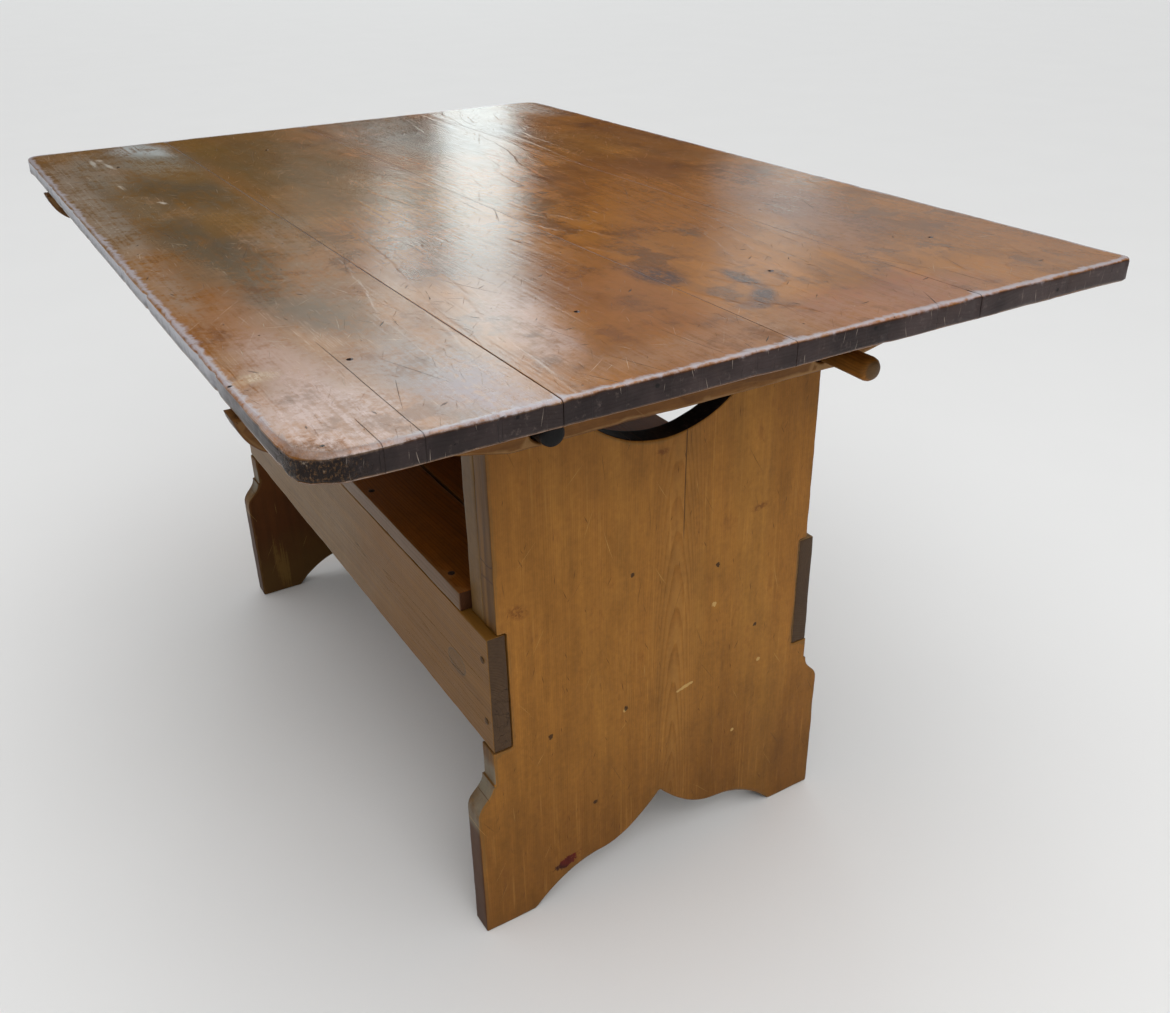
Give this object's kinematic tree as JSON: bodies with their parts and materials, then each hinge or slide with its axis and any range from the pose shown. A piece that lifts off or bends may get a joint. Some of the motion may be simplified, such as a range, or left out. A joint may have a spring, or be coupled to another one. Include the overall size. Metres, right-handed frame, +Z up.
{
  "type": "monks bench",
  "caption": "Pine hutch table: a lidded box seat between shaped end boards, with a plank top that tilts up on wooden pins to form the back and locks flat with round pegs.",
  "frame": {"origin": "on the floor, midway between the end boards and under the middle of the top", "axes": "+X along the seat, to a sitter's right; +Y to the front of the bench, the way a sitter faces; +Z up"},
  "size_m": [1.287, 0.898, 0.75],
  "materials": {
    "top_wood": "old waxed pine, orange brown, satin, scratched and stained",
    "batten_pine": "waxed honey pine",
    "end_pine": "waxed honey pine, vertical grain",
    "apron_wood": "worn grey-tan pine, dull",
    "seat_wood": "dark red-brown varnished pine",
    "inner_wood": "unfinished aged pine",
    "dark_pin": "near-black handled hardwood",
    "peg_wood": "golden waxed wood with pale worn end",
    "iron": "dark rusted wrought iron"
  },
  "bodies": {
    "base": {"left_end_board": "end_pine", "right_end_board": "end_pine", "left_back_upright": "apron_wood", "left_front_upright": "apron_wood", "right_back_upright": "apron_wood", "right_front_upright": "apron_wood", "back_apron": "apron_wood", "front_apron": "apron_wood", "left_back_apron_nail_1": "iron", "left_back_apron_nail_2": "iron", "right_back_apron_nail_1": "iron", "right_back_apron_nail_2": "iron", "left_front_apron_nail_1": "iron", "left_front_apron_nail_2": "iron", "right_front_apron_nail_1": "iron", "right_front_apron_nail_2": "iron", "seat_nail_1": "iron", "seat_nail_2": "iron", "seat_nail_3": "iron", "seat_nail_4": "iron", "fixed_seat_board": "seat_wood", "left_seat_bearer": "inner_wood", "right_seat_bearer": "inner_wood", "left_floor_bearer": "inner_wood", "right_floor_bearer": "inner_wood", "box_floor_back": "inner_wood", "box_floor_front": "inner_wood", "left_pivot_pin": "dark_pin", "right_pivot_pin": "dark_pin", "left_hinge_fixed_leaf": "iron", "right_hinge_fixed_leaf": "iron", "left_hinge_pin": "iron", "right_hinge_pin": "iron"},
    "top": {"top_board_1": "top_wood", "top_board_2": "top_wood", "top_board_3": "top_wood", "top_board_4": "top_wood", "left_batten": "batten_pine", "right_batten": "batten_pine", "left_batten_screw_1": "iron", "left_batten_screw_2": "iron", "left_batten_screw_3": "iron", "left_batten_screw_4": "iron", "right_batten_screw_1": "iron", "right_batten_screw_2": "iron", "right_batten_screw_3": "iron", "right_batten_screw_4": "iron"},
    "lid": {"lid_back_board": "seat_wood", "lid_front_board": "seat_wood", "left_lid_cleat": "inner_wood", "right_lid_cleat": "inner_wood", "left_hinge_lid_leaf": "iron", "right_hinge_lid_leaf": "iron"},
    "left_lock": {"left_lock_peg": "peg_wood"},
    "right_lock": {"right_lock_peg": "peg_wood"}
  },
  "joints": [
    {"name": "top_tilt", "type": "hinge", "parent": "base", "child": "top", "pos_m": [0, -0.1685, 0.65], "axis": [1, 0, 0], "range_deg": [0, 93]},
    {"name": "lid_open", "type": "hinge", "parent": "base", "child": "lid", "pos_m": [0, -0.134, 0.4396], "axis": [1, 0, 0], "range_deg": [0, 53]},
    {"name": "left_lock_slide", "type": "slide", "parent": "top", "child": "left_lock", "axis": [-1, 0, 0], "range_m": [-0.0545, 0.01]},
    {"name": "right_lock_slide", "type": "slide", "parent": "top", "child": "right_lock", "axis": [1, 0, 0], "range_m": [-0.0545, 0.01]}
  ]
}
